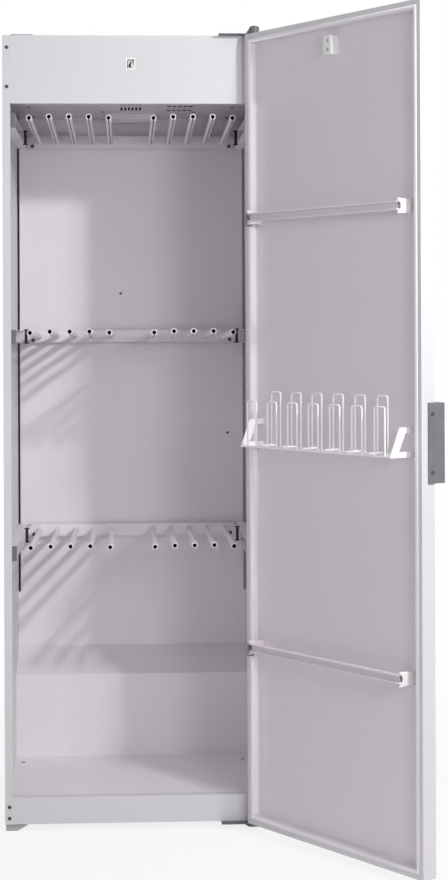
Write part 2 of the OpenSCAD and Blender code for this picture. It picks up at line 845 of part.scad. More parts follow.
// A block on the liner with rounded corners and two sunk holes
module door_catch() {
    hole_r = 3.4;
    corner = 4;
    color(white_plastic) on_door() difference() {
        translate([0, liner_y, catch_z]) rotate([-90, 0, 0]) linear_extrude(catch_d) {
            square([catch_w - 2 * corner, catch_h], center = true);
            square([catch_w, catch_h - 2 * corner], center = true);
            for (x = [-1, 1], z = [-1, 1])
                translate([x * (catch_w / 2 - corner), z * (catch_h / 2 - corner)]) circle(r = corner);
        }
        for (dz = [-10, 10]) translate([0, liner_y + catch_d, catch_z + dz]) rotate([90, 0, 0]) {
            cylinder(r = hole_r, h = 24, center = true);
            cylinder(r = hole_r + 1.6, h = 3, center = true);
        }
    }
}

handle_out_y = pivot_y - 46;               // outer face of the handle's lip
handle_bend = 6;

// The handle seen from above: plate on the door's edge, bend and finger lip
module handle_outline() {
    x0 = -x_out - handle_t;
    translate([x0, handle_out_y + handle_bend]) square([handle_t, handle_w - handle_bend]);
    translate([x0 + handle_bend, handle_out_y]) square([handle_lip - handle_bend, handle_t]);
    translate([x0 + handle_lip, handle_out_y + handle_t / 2 + 0.6]) circle(r = handle_t / 2 + 0.6);
    translate([x0 + handle_bend, handle_out_y + handle_bend]) intersection() {
        difference() {
            circle(r = handle_bend);
            circle(r = handle_bend - handle_t);
        }
        translate([-handle_bend, -handle_bend]) square(handle_bend);
    }
}

module handle() {
    color(grey_plastic) on_door() difference() {
        translate([0, 0, handle_z - handle_l / 2]) linear_extrude(handle_l) handle_outline();
        handle_screw_places() cylinder(r = screw_shank_r + weld, h = 16, center = true);
    }
}

module handle_screws() {
    color(zinc) on_door() handle_screw_places() translate([0, 0, handle_t]) screw(4.2, 2.2, screw_shank_r, 12);
}

// ---------- controls on the door's front ----------

button_guide_r = button_dia / 2 + 0.3;

module bezel_bores() {
    rotate([90, 0, 0]) {
        for (x = [button_x, button_x + 24])
            translate([x, 0, -bezel_body_d - 10]) cylinder(r = button_guide_r, h = bezel_body_d + 20);
        translate([0, 0, -bezel_body_d - 10]) cylinder(r = shaft_r + fit, h = bezel_body_d + 20);
    }
}

// Panel and the hollow box behind it, with a guide for each button and the knob's bearing
module control_bezel() {
    wall = 2;
    low = controls_z - bezel_h / 2;
    high = controls_z + bezel_h / 2;
    back_y0 = door_front_y + bezel_body_d;
    color(black_plastic) on_door() difference() {
        union() {
            block([-bezel_w / 2, door_front_y - bezel_t, low], [bezel_w / 2, door_front_y, high]);
            difference() {
                block([-bezel_w / 2 + 4.2, door_front_y - eps, low + 4.2], [bezel_w / 2 - 4.2, back_y0, high - 4.2]);
                block([-bezel_w / 2 + 4.2 + wall, door_front_y, low + 4.2 + wall],
                      [bezel_w / 2 - 4.2 - wall, back_y0 + 1, high - 4.2 - wall]);
            }
            translate([0, door_front_y + 10, controls_z]) rotate([90, 0, 0]) {
                cylinder(r = shaft_r + 3, h = 11);
                for (x = [button_x, button_x + 24])
                    translate([x, 0, 2]) cylinder(r = button_guide_r + 1.6, h = 9);
            }
        }
        translate([0, door_front_y, controls_z]) bezel_bores();
        block([-bezel_w / 2 + 14, door_front_y - bezel_t - 1, controls_z - 12],
              [-bezel_w / 2 + 60, door_front_y - bezel_t + 0.8, controls_z + 12]);
    }
}

module timer_knob() {
    grip_w = 7;
    color(grey_plastic) on_door() translate([0, door_front_y - bezel_t - 0.3, controls_z]) rotate([90, 0, 0]) {
        cylinder(r = knob_dia / 2, h = 4);
        translate([0, 0, 4 - eps]) cylinder(r1 = knob_dia / 2 - 2, r2 = knob_dia / 2 - 5, h = knob_h - 4);
        translate([-grip_w / 2, -knob_dia / 2 + 6, knob_h - eps]) cube([grip_w, knob_dia - 12, 5]);
        translate([0, 0, -14]) cylinder(r = shaft_r, h = 14 + eps);
    }
}

module push_button(x) {
    color(white_plastic) on_door() translate([x, door_front_y - bezel_t - button_travel - 0.6, controls_z])
        rotate([-90, 0, 0]) {
            cylinder(r = button_dia / 2, h = button_h);
            translate([0, 0, button_h - eps]) cylinder(r = button_dia / 4, h = 3);
        }
}

module button_start() {
    push_button(button_x);
}

module button_stop() {
    push_button(button_x + 24);
}

// ---------- door switch ----------

switch_d = 30;
plunger_w = 15;
plunger_h = 20;
plunger_gap = 0.4;

module door_switch() {
    wall_x = switch_w / 2 - 0.3;
    wall_z = switch_h / 2 - 0.3;
    flange = 5;
    color(white_plastic) translate([0, 0, switch_z]) difference() {
        union() {
            block([-wall_x, 0.2, -wall_z], [wall_x, switch_d, wall_z]);
            block([-wall_x - flange, sheet, -wall_z - flange], [wall_x + flange, sheet + 2, wall_z + flange]);
        }
        block([-plunger_w / 2 - plunger_gap, -1, -plunger_h / 2 - plunger_gap],
              [plunger_w / 2 + plunger_gap, switch_d - 2, plunger_h / 2 + plunger_gap]);
    }
}

// A wedge whose nose is level with the fascia
module switch_plunger() {
    color(black_plastic) translate([-plunger_w / 2, 0, switch_z]) rotate([90, 0, 90])
        linear_extrude(plunger_w)
            polygon([[1, -plunger_h / 2 + 3], [4, -plunger_h / 2], [20, -plunger_h / 2],
                     [20, plunger_h / 2], [14, plunger_h / 2]]);
}

// ---------- fan, heater and electrics above the ceiling ----------

fan_top_z = ceiling_top_z + fan_h;

module fan_housing() {
    inner_r = fan_dia / 2 - fan_wall;
    outlet_w = heater_w - 12;
    inlet_r = impeller_dia / 2 - 18;
    color(zinc) difference() {
        union() {
            translate([0, fan_y, ceiling_top_z]) cylinder(r = fan_dia / 2, h = fan_h);
            block([-outlet_w / 2, fan_y, ceiling_top_z], [outlet_w / 2, heater_y - 0.2, ceiling_top_z + heater_h - 10]);
        }
        translate([0, fan_y, ceiling_top_z + fan_wall]) cylinder(r = inner_r, h = fan_h - 2 * fan_wall);
        block([-outlet_w / 2 + fan_wall, fan_y, ceiling_top_z + fan_wall],
              [outlet_w / 2 - fan_wall, heater_y + 1, ceiling_top_z + heater_h - 10 - fan_wall]);
        translate([0, fan_y, ceiling_top_z - 1]) cylinder(r = inlet_r + 34, h = fan_wall + 2);
        translate([0, fan_y, fan_top_z - fan_wall - 1]) cylinder(r = shaft_r + 2, h = fan_wall + 2);
    }
}

module impeller() {
    disc_z = fan_top_z - fan_wall - 5;
    blade_h = fan_h - 30;
    blade_w = 20;
    r = impeller_dia / 2;
    color(grey_plastic) translate([0, fan_y, 0]) {
        translate([0, 0, disc_z - 2]) cylinder(r = r, h = 2);
        translate([0, 0, disc_z - 26]) cylinder(r = 12, h = 26);
        translate([0, 0, disc_z - eps]) cylinder(r = shaft_r, h = 24);
        for (i = [0 : blade_count - 1]) rotate([0, 0, i * 360 / blade_count])
            translate([r - blade_w / 2 - 1.2, 0, disc_z - 2 - blade_h]) rotate([0, 0, 24])
                translate([-blade_w / 2, -0.6, 0]) cube([blade_w - 2, 1.2, blade_h + eps]);
        translate([0, 0, disc_z - 2 - blade_h]) tube(r, r - 5, 2);
    }
}

module fan_motor() {
    base_z = fan_top_z;
    motor_h = z_top - sheet - base_z - 3;
    color([0.3, 0.31, 0.33]) translate([0, fan_y, base_z]) difference() {
        union() {
            cylinder(r = motor_dia / 2, h = motor_h - 6);
            translate([0, 0, motor_h - 6 - eps]) cylinder(r1 = motor_dia / 2, r2 = motor_dia / 2 - 6, h = 6);
            for (a = [0 : 120 : 240]) rotate([0, 0, a]) translate([motor_dia / 2 + 4, 0, 0]) cylinder(r = 8, h = 4);
        }
        translate([0, 0, -1]) cylinder(r = shaft_r + fit, h = 24);
        for (a = [0 : 30 : 330]) rotate([0, 0, a + 15]) translate([motor_dia / 2, 0, 8])
            cylinder(r = 3, h = motor_h - 20, $fn = 16);
    }
}

module heater_housing() {
    color(zinc) difference() {
        block([-heater_w / 2, heater_y, ceiling_top_z], [heater_w / 2, heater_y + heater_d, ceiling_top_z + heater_h]);
        block([-heater_w / 2 + heater_wall, heater_y - 1, ceiling_top_z - 1],
              [heater_w / 2 - heater_wall, heater_y + heater_d - heater_wall, ceiling_top_z + heater_h - heater_wall]);
    }
}

// A tube that runs to and fro across the heater, ending in two terminals at one side
module heating_element() {
    r = element_dia / 2;
    run = heater_w - 2 * heater_wall - 30;
    y0 = heater_y + (heater_d - (element_runs - 1) * element_pitch) / 2;
    z = ceiling_top_z + heater_h / 2;
    color([0.35, 0.33, 0.32]) {
        for (i = [0 : element_runs - 1])
            translate([-run / 2, y0 + i * element_pitch, z]) rotate([0, 90, 0]) cylinder(r = r, h = run, $fn = 24);
        for (i = [0 : element_runs - 2])
            translate([(i % 2 == 0 ? 1 : -1) * run / 2, y0 + (i + 0.5) * element_pitch, z])
                rotate([0, 0, i % 2 == 0 ? -90 : 90])
                    rotate_extrude(angle = 180) translate([element_pitch / 2, 0]) circle(r = r, $fn = 24);
        for (i = [0, element_runs - 1])
            translate([-heater_w / 2 + heater_wall, y0 + i * element_pitch, z]) rotate([0, 90, 0])
                cylinder(r = r + 1.5, h = heater_w / 2 - heater_wall - run / 2 + 4, $fn = 24);
    }
}

module power_box() {
    x0 = gland_x - 90;
    y0 = rear_in_y - 150;
    color(black_plastic) difference() {
        block([x0, y0, ceiling_top_z], [x0 + 130, y0 + 110, ceiling_top_z + 58]);
        for (i = [0 : 8]) translate([x0 + 15 + i * 12, y0 - 1, ceiling_top_z + 12]) cube([4, 3, 34]);
    }
}

module cable_gland() {
    color(black_plastic) translate([gland_x, 0, gland_z]) rotate([-90, 0, 0]) difference() {
        union() {
            translate([0, 0, rear_in_y - 6]) cylinder(r = gland_r - weld, h = 6 + sheet + 2);
            translate([0, 0, cabinet_d - sheet]) cylinder(r = gland_r + 3, h = 6, $fn = 6);
            translate([0, 0, cabinet_d - sheet + 6 - eps]) cylinder(r1 = gland_r, r2 = gland_r - 3, h = 6);
            translate([0, 0, rear_in_y - 6]) cylinder(r = gland_r + 3, h = 6, $fn = 6);
        }
        translate([0, 0, rear_in_y - 10]) cylinder(r = cable_r, h = 40);
    }
}

module exhaust_collar() {
    color(zinc) translate([0, collar_y, z_top]) {
        tube(collar_dia / 2 + collar_rim, collar_dia / 2 - collar_wall, sheet);
        tube(collar_dia / 2, collar_dia / 2 - collar_wall, collar_h);
    }
}

side_left();
side_right();
rear_panel();
top_panel();
base_panel();
fascia();
sill();
floor_pan();
ceiling_panel();
inner_back_panel();
rear_duct();
air_deflector();
feet();
body_screws();
rails();
rail_stops();
at_rack(0) rack_bar();  // rack_bar_upper
at_rack(0) rack_pegs();  // rack_pegs_upper
at_rack(0) rack_arms();  // rack_arms_upper
at_rack(0) rack_glides();  // rack_glides_upper
at_rack(1) rack_bar();  // rack_bar_middle
at_rack(1) rack_pegs();  // rack_pegs_middle
at_rack(1) rack_arms();  // rack_arms_middle
at_rack(1) rack_glides();  // rack_glides_middle
at_rack(2) rack_bar();  // rack_bar_lower
at_rack(2) rack_pegs();  // rack_pegs_lower
at_rack(2) rack_arms();  // rack_arms_lower
at_rack(2) rack_glides();  // rack_glides_lower
hinge_plate_top();
hinge_plate_bottom();
hinge_blank();
hinge_bush_top();
hinge_bush_bottom();
hinge_pin_top();
hinge_pin_bottom();
door_skin();
door_liner();
door_bars();
bar_brackets_far();
bar_brackets_near();
glove_tall_loops();
glove_low_loops();
glove_frame();
door_catch();
handle();
handle_screws();
control_bezel();
timer_knob();
button_start();
button_stop();
door_switch();
switch_plunger();
fan_housing();
impeller();
fan_motor();
heater_housing();
heating_element();
power_box();
cable_gland();
exhaust_collar();
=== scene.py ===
"""Looks of the drying cabinet.

Materials, rounded edges, fasteners, welds, wires, markings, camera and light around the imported
frame. Lengths are in metres, with X to the right, Y to the back and Z up.
"""

import json
import math

import bmesh
import bpy
from mathutils import Matrix, Vector

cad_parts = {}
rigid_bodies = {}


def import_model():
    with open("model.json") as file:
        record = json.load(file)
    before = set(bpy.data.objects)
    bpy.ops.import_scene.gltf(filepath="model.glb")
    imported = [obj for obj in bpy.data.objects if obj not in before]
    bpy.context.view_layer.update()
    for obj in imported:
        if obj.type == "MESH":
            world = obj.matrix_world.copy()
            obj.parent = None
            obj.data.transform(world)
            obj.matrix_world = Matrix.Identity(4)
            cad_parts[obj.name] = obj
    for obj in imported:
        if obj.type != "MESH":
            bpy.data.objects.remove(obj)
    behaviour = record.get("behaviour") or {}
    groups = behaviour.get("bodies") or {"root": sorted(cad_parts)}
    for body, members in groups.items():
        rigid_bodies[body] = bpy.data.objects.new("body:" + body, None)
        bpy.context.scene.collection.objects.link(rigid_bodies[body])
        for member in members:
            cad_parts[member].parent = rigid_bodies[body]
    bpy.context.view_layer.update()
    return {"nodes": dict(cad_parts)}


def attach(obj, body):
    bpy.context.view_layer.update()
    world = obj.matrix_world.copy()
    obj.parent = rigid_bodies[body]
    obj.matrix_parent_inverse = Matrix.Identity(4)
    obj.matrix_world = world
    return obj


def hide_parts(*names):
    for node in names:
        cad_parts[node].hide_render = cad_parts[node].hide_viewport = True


for leftover in list(bpy.data.objects):
    bpy.data.objects.remove(leftover)

bpy.context.scene.view_settings.view_transform = "Standard"

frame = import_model()
NODES = frame["nodes"]
RACKS = ("upper", "middle", "lower")

# The door's hinge axis, and the turn that opens the shut door as it stands at rest
PIVOT = Vector((0.286, -0.023, 0))
DOOR_TURN = math.radians(124)
DOOR_MATRIX = (
    Matrix.Translation(PIVOT) @ Matrix.Rotation(DOOR_TURN, 4, "Z") @ Matrix.Translation(-PIVOT)
)


def link(obj):
    bpy.context.scene.collection.objects.link(obj)


def per_rack(*parts):
    """The nodes of these parts on all three racks."""
    return [f"rack_{part}_{rack}" for part in parts for rack in RACKS]


# ---------- materials ----------


class Shader:
    """A node-based material with object coordinates in metres."""

    def __init__(self, name):
        self.material = bpy.data.materials.new(name)
        self.material.use_nodes = True
        self.nodes = self.material.node_tree.nodes
        self.links = self.material.node_tree.links
        self.bsdf = self.nodes["Principled BSDF"]
        self.coords = self.nodes.new("ShaderNodeTexCoord").outputs["Object"]

    def noise(self, scale, detail=2.0, roughness=0.5, stretch=None):
        vector = self.coords
        if stretch:
            mapping = self.nodes.new("ShaderNodeMapping")
            mapping.inputs["Scale"].default_value = stretch
            self.links.new(vector, mapping.inputs["Vector"])
            vector = mapping.outputs["Vector"]
        node = self.nodes.new("ShaderNodeTexNoise")
        node.inputs["Scale"].default_value = scale
        node.inputs["Detail"].default_value = detail
        node.inputs["Roughness"].default_value = roughness
        self.links.new(vector, node.inputs["Vector"])
        return node.outputs["Fac"]

    def cells(self, scale):
        node = self.nodes.new("ShaderNodeTexVoronoi")
        node.inputs["Scale"].default_value = scale
        self.links.new(self.coords, node.inputs["Vector"])
        return node.outputs["Color"]

    def remap(self, value, low, high, from_low=0.3, from_high=0.7):
        node = self.nodes.new("ShaderNodeMapRange")
        node.inputs["From Min"].default_value = from_low
        node.inputs["From Max"].default_value = from_high
        node.inputs["To Min"].default_value = low
        node.inputs["To Max"].default_value = high
        self.links.new(value, node.inputs["Value"])
        return node.outputs["Result"]

    def mix(self, factor, a, b):
        node = self.nodes.new("ShaderNodeMix")
        node.data_type = "RGBA"
        self.links.new(factor, node.inputs["Factor"])
        for socket, value in ((node.inputs[6], a), (node.inputs[7], b)):
            if isinstance(value, tuple):
                socket.default_value = (*value, 1)
            else:
                self.links.new(value, socket)
        return node.outputs[2]

    def bump(self, height, strength, distance):
        node = self.nodes.new("ShaderNodeBump")
        node.inputs["Strength"].default_value = strength
        node.inputs["Distance"].default_value = distance
        self.links.new(height, node.inputs["Height"])
        self.links.new(node.outputs["Normal"], self.bsdf.inputs["Normal"])

    def set(self, **values):
        for key, value in values.items():
            socket = self.bsdf.inputs[key.replace("_", " ")]
            if isinstance(value, bpy.types.NodeSocket):
                self.links.new(value, socket)
            elif isinstance(value, tuple):
                socket.default_value = (*value, 1)
            else:
                socket.default_value = value


def linear(r, g, b):
    """A colour written as 0-255 screen values, as the shader takes it."""
    return tuple((c / 255) ** 2.2 for c in (r, g, b))


def shade(colour, factor):
    """The colour made lighter or darker, kept inside the range that a surface can have."""
    return tuple(min(c * factor, 1) for c in colour)


def powder_coat(name, colour, rough=0.38, peel=0.22):
    """Baked powder paint: orange peel, faint clouds and specks, and a slightly uneven sheen."""
    s = Shader(name)
    clouds = s.remap(s.noise(2.3, 3), 0, 1)
    specks = s.remap(s.noise(420, 2), 0, 1, from_low=0.66, from_high=0.8)
    base = s.mix(clouds, shade(colour, 0.98), shade(colour, 1.01))
    s.set(
        Base_Color=s.mix(specks, base, shade(colour, 0.93)),
        Roughness=s.remap(s.noise(3, 2), rough - 0.015, rough + 0.02),
        IOR=1.48,
    )
    s.bump(s.noise(650, 2, 0.4), peel, 0.00025)
    return s.material


def galvanised(name, colour, rough=0.36):
    """Zinc-plated sheet with a faint spangle and rolling lines."""
    s = Shader(name)
    spangle = s.cells(90)
    lines = s.remap(s.noise(60, 3, 0.6, stretch=(1, 1, 14)), 0, 1)
    s.set(
        Base_Color=s.mix(lines, shade(colour, 0.86), shade(colour, 1.08)),
        Metallic=0.85,
        Roughness=s.remap(spangle, rough - 0.08, rough + 0.1, from_low=0.1, from_high=0.9),
    )
    s.bump(s.noise(300, 3), 0.12, 0.0002)
    return s.material


def moulded(name, colour, rough=0.42, grain=0.3):
    """Injection-moulded plastic with a fine spark-eroded grain."""
    s = Shader(name)
    clouds = s.remap(s.noise(14, 3), 0, 1)
    s.set(
        Base_Color=s.mix(clouds, shade(colour, 0.93), shade(colour, 1.05)),
        Roughness=s.remap(s.noise(40, 3), rough - 0.05, rough + 0.08),
        IOR=1.5,
    )
    s.bump(s.noise(1100, 2), grain, 0.00015)
    return s.material


def satin_steel(name, colour, rough=0.4):
    """Rolled steel with fine vertical grain and handling marks."""
    s = Shader(name)
    grain = s.noise(70, 4, 0.65, stretch=(1, 1, 0.05))
    marks = s.remap(s.noise(22, 5, 0.6), 0, 1)
    s.set(
        Base_Color=s.mix(marks, shade(colour, 0.88), shade(colour, 1.08)),
        Metallic=0.6,
        Roughness=s.remap(grain, rough - 0.08, rough + 0.12),
    )
    s.bump(grain, 0.15, 0.0002)
    return s.material


def oxidised(name, colour):
    """Element tube: dull grey metal with heat tint in patches."""
    s = Shader(name)
    tint = s.remap(s.noise(26, 4), 0, 1)
    s.set(
        Base_Color=s.mix(tint, colour, shade(colour, 1.7)),
        Metallic=0.7,
        Roughness=s.remap(s.noise(80, 3), 0.45, 0.65),
    )
    s.bump(s.noise(500, 3), 0.2, 0.0002)
    return s.material


def glowing(name, colour, strength):
    """A lit lens, a little uneven inside."""
    s = Shader(name)
    base = s.mix(s.remap(s.noise(600, 2), 0, 1), shade(colour, 0.8), colour)
    s.set(Base_Color=base, Emission_Color=base, Roughness=0.2, Emission_Strength=strength)
    return s.material


WHITE = powder_coat("paint_white", linear(221, 219, 223))
# The inside's white is a lighter copy of the outside's: painted light that lifts the shade inside
# the cabinet
WHITE_INSIDE_PAINTED_LIGHT = powder_coat("paint_inside_painted_light", linear(243, 239, 244), rough=0.42)
# A darker copy of the inside's white for the ceiling: painted shade, as the ceiling gets little
# light
WHITE_PAINTED_SHADE = powder_coat("paint_ceiling_painted_shade", linear(226, 221, 227), rough=0.42)
# The liner's white is tinted pink as the liner looks in shade: a painted shade tint
WHITE_DOOR_SHADE_TINT = powder_coat("paint_liner_shade_tint", linear(232, 224, 231), rough=0.3)
# A whiter copy of the door's paint, for the rim bead and the strip on the liner's wall: painted
# highlight
WHITE_PAINTED_HIGHLIGHT = powder_coat("paint_bead_painted_highlight", linear(246, 243, 246), rough=0.3)
WIRE_WHITE = powder_coat("paint_wire", linear(252, 251, 252), rough=0.24, peel=0.1)
ZINC = galvanised("zinc_plate", linear(176, 176, 180))
DARK_ZINC = galvanised("zinc_dark", linear(92, 92, 97), rough=0.42)
STOP_GREY = moulded("stop_grey", linear(122, 120, 126))
BLACK = moulded("plastic_black", linear(30, 30, 32))
GREY = moulded("plastic_grey", linear(128, 129, 133))
FOOT_GREY = moulded("foot_grey", linear(184, 182, 186), rough=0.45)
PLASTIC_WHITE = moulded("plastic_white", linear(246, 246, 246), rough=0.34, grain=0.15)
HANDLE_GREY = satin_steel("handle_grey", linear(134, 130, 137))
PIN_STEEL = moulded("pin_steel", linear(104, 102, 106), rough=0.5, grain=0.1)
# Near-black: the grommets' own colour, and painted shade in the tubes' bores, above the ceiling's
# slots, in the back corner's slot and beside the switch's tongue
DARK_AND_PAINTED_SHADE = moulded("dark_and_painted_shade", linear(26, 25, 28), rough=0.7, grain=0.1)
CAP_WHITE = moulded("cap_white", linear(222, 219, 224), rough=0.4, grain=0.15)
MOTOR = moulded("motor_paint", linear(70, 71, 76), rough=0.5)
ELEMENT = oxidised("element_metal", linear(88, 84, 82))
PRINT = moulded("print_white", linear(232, 232, 232), rough=0.5, grain=0.05)
DISPLAY = moulded("display_glass", linear(12, 14, 16), rough=0.08, grain=0.0)
LAMP = glowing("lamp_green", (0.05, 0.5, 0.12), 0.6)

FINISH = {
    WHITE: [
        "side_left", "side_right", "rear_panel", "top_panel", "base_panel", "fascia", "sill",
        "door_skin",
    ],
    WHITE_INSIDE_PAINTED_LIGHT: [
        "floor_pan", "inner_back_panel", "rear_duct", "air_deflector", "rails",
        *per_rack("bar", "pegs"),
    ],
    WHITE_PAINTED_SHADE: ["ceiling_panel"],
    WHITE_DOOR_SHADE_TINT: ["door_liner", "door_bars", "bar_brackets_near"],
    WIRE_WHITE: ["glove_frame"],
    ZINC: ["hinge_blank", "heater_housing", "exhaust_collar", *per_rack("arms")],
    # The fan housing's darker zinc is painted shade, seen up through the ceiling's slots
    DARK_ZINC: ["fan_housing"],
    PIN_STEEL: ["hinge_plate_top", "hinge_plate_bottom", "hinge_pin_top", "hinge_pin_bottom"],
    STOP_GREY: ["rail_stops"],
    BLACK: ["control_bezel", "power_box", "cable_gland", "impeller", *per_rack("glides")],
    FOOT_GREY: ["feet"],
    GREY: ["timer_knob"],
    PLASTIC_WHITE: [
        "hinge_bush_top", "hinge_bush_bottom", "bar_brackets_far", "door_catch",
        "button_start", "button_stop", "door_switch",
    ],
    HANDLE_GREY: ["handle"],
    MOTOR: ["fan_motor"],
    ELEMENT: ["heating_element"],
}
for material, names in FINISH.items():
    for name in names:
        mesh = NODES[name].data
        mesh.materials.clear()
        mesh.materials.append(material)


# ---------- rounded edges ----------

# Width of the rounded edge on each node; sheet steel gets the radius of its folds
EDGE = {
    0.0005: [
        "side_left", "side_right", "fascia", "sill", "top_panel", "rear_panel", "base_panel",
        "floor_pan", "rear_duct", "air_deflector", "inner_back_panel", "rails",
        "hinge_plate_bottom", "hinge_blank", *per_rack("bar"),
    ],
    0.0007: ["button_start", "button_stop", "power_box", *per_rack("glides")],
    0.0011: ["door_skin", "door_liner", "rail_stops", "handle", "door_bars"],
    0.0012: ["feet", "timer_knob", "bar_brackets_near", "bar_brackets_far", "control_bezel"],
    0.0016: ["door_catch"],
}
SAME_POINT = 1e-6               # points closer than this are welded
SAME_PLANE = math.radians(0.5)  # faces that meet at less than this are joined
SHARP = math.radians(40)        # edges sharper than this are rounded


def round_edges(obj, width):
    weld = obj.modifiers.new("weld", "WELD")
    weld.merge_threshold = SAME_POINT
    flat = obj.modifiers.new("flat", "DECIMATE")
    flat.decimate_type = "DISSOLVE"
    flat.angle_limit = SAME_PLANE
    bevel = obj.modifiers.new("edge", "BEVEL")
    bevel.width = width
    bevel.segments = 2
    bevel.limit_method = "ANGLE"
    bevel.angle_limit = SHARP
    bevel.use_clamp_overlap = True
    normals = obj.modifiers.new("normals", "WEIGHTED_NORMAL")
    normals.keep_sharp = False


for width, names in EDGE.items():
    for name in names:
        round_edges(NODES[name], width)


# ---------- camera ----------

PHOTO_H = 880
FOCAL_PX = 1910.1
SENSOR_MM = 36
SIGHT_Y = 329.7                 # how far down the picture the level line of sight meets it
EYE = (-0.0057, -4.4392, 1.1601)
ROLL, YAW = math.radians(0.235), math.radians(-2.836)

camera_data = bpy.data.cameras.new("camera")
camera_data.sensor_width = SENSOR_MM
camera_data.lens = FOCAL_PX * SENSOR_MM / PHOTO_H
camera_data.shift_y = -(PHOTO_H / 2 - SIGHT_Y) / PHOTO_H
camera_data.clip_start, camera_data.clip_end = 0.1, 100
camera = bpy.data.objects.new("camera", camera_data)
camera.rotation_euler = (math.radians(90), ROLL, YAW)
camera.location = EYE
link(camera)
bpy.context.scene.camera = camera


# ---------- light and floor ----------

# Each lamp's name, place, aim, diameter and power in watts
LAMPS = (
    ("key", (1.5, -1.9, 2.29), (0.0, 0.1, 0.8), 0.17, 33.5),
    ("side", (1.1, -3.0, 1.6), (0.0, 0.2, 0.9), 0.7, 16),
    ("fill", (-3.4, -2.4, 1.5), (0.1, 0.0, 0.95), 1.8, 10),
    ("rim", (1.2, 2.6, 2.6), (0.1, 0.2, 1.0), 1.6, 30),
)
SKY_COLOUR, SKY_STRENGTH = (1.0, 0.985, 1.0, 1), 0.38
PURE_WHITE = (1, 1, 1, 1)
FLOOR_REACH = 9.0
FLOOR_FADE = (0.7, 2.6)         # distance from the origin at which the fade starts and ends
FLOOR_GLOW = 0.84               # the glow's share before the fade starts
FLOOR_TONES = ((0.84, 0.84, 0.85, 1), (0.88, 0.88, 0.89, 1))
FLOOR_GRAIN = 30

for name, place, aim, size, power in LAMPS:
    lamp_data = bpy.data.lights.new(name, "AREA")
    lamp_data.shape = "DISK"
    lamp_data.size = size
    lamp_data.energy = power
    lamp = bpy.data.objects.new(name, lamp_data)
    lamp.location = place
    lamp.rotation_euler = (Vector(aim) - Vector(place)).to_track_quat("-Z", "Y").to_euler()
    link(lamp)


def studio_world():
    """A dim sky for the light, and pure white to the camera, through glass and in reflections."""
    world = bpy.data.worlds.new("studio")
    world.use_nodes = True
    bpy.context.scene.world = world
    nodes, links = world.node_tree.nodes, world.node_tree.links
    nodes.clear()
    sky = nodes.new("ShaderNodeBackground")
    sky.inputs["Color"].default_value = SKY_COLOUR
    sky.inputs["Strength"].default_value = SKY_STRENGTH
    white = nodes.new("ShaderNodeBackground")
    white.inputs["Color"].default_value = PURE_WHITE
    white.inputs["Strength"].default_value = 1
    path = nodes.new("ShaderNodeLightPath")
    seen = path.outputs["Is Camera Ray"]
    for ray in ("Is Transmission Ray", "Is Glossy Ray"):
        either = nodes.new("ShaderNodeMath")
        either.operation = "MAXIMUM"
        links.new(seen, either.inputs[0])
        links.new(path.outputs[ray], either.inputs[1])
        seen = either.outputs[0]
    choose = nodes.new("ShaderNodeMixShader")
    links.new(seen, choose.inputs["Fac"])
    links.new(sky.outputs[0], choose.inputs[1])
    links.new(white.outputs[0], choose.inputs[2])
    links.new(choose.outputs[0], nodes.new("ShaderNodeOutputWorld").inputs["Surface"])


def studio_floor():
    """A pale floor that keeps the shadow near the object and runs out into white."""
    mesh = bpy.data.meshes.new("studio_floor")
    r = FLOOR_REACH
    mesh.from_pydata([(-r, -r, 0), (r, -r, 0), (r, r, 0), (-r, r, 0)], [], [(0, 1, 2, 3)])
    obj = bpy.data.objects.new("studio_floor", mesh)
    link(obj)
    material = bpy.data.materials.new("floor_pale")
    material.use_nodes = True
    nodes, links = material.node_tree.nodes, material.node_tree.links
    nodes.clear()
    coords = nodes.new("ShaderNodeTexCoord").outputs["Object"]
    distance = nodes.new("ShaderNodeVectorMath")
    distance.operation = "LENGTH"
    links.new(coords, distance.inputs[0])
    spread = nodes.new("ShaderNodeMapRange")
    spread.inputs["From Min"].default_value, spread.inputs["From Max"].default_value = FLOOR_FADE
    spread.inputs["To Min"].default_value = FLOOR_GLOW
    links.new(distance.outputs["Value"], spread.inputs["Value"])
    factor = nodes.new("ShaderNodeMath")
    factor.operation = "MULTIPLY"
    links.new(spread.outputs["Result"], factor.inputs[0])
    links.new(nodes.new("ShaderNodeLightPath").outputs["Is Camera Ray"], factor.inputs[1])
    grain = nodes.new("ShaderNodeTexNoise")
    grain.inputs["Scale"].default_value = FLOOR_GRAIN
    links.new(coords, grain.inputs["Vector"])
    tone = nodes.new("ShaderNodeMix")
    tone.data_type = "RGBA"
    tone.inputs[6].default_value, tone.inputs[7].default_value = FLOOR_TONES
    links.new(grain.outputs["Fac"], tone.inputs["Factor"])
    matt = nodes.new("ShaderNodeBsdfDiffuse")
    links.new(tone.outputs[2], matt.inputs["Color"])
    glow = nodes.new("ShaderNodeEmission")
    glow.inputs["Color"].default_value = PURE_WHITE
    mixed = nodes.new("ShaderNodeMixShader")
    links.new(factor.outputs[0], mixed.inputs["Fac"])
    links.new(matt.outputs[0], mixed.inputs[1])
    links.new(glow.outputs[0], mixed.inputs[2])
    links.new(mixed.outputs[0], nodes.new("ShaderNodeOutputMaterial").inputs["Surface"])
    mesh.materials.append(material)


studio_world()
studio_floor()


# ---------- shapes ----------


def facing(place, direction):
    """A frame at a place, with its Z axis along a direction."""
    turn = Vector(direction).to_track_quat("Z", "Y").to_matrix().to_4x4()
    return Matrix.Translation(place) @ turn


def points_at(bm, matrix, points):
    return [bm.verts.new(matrix @ Vector(point)) for point in points]


def circle(around, turn=0.0):
    """Cosines and sines of evenly spaced angles."""
    angles = [2 * math.pi * k / around + turn for k in range(around)]
    return [(math.cos(a), math.sin(a)) for a in angles]


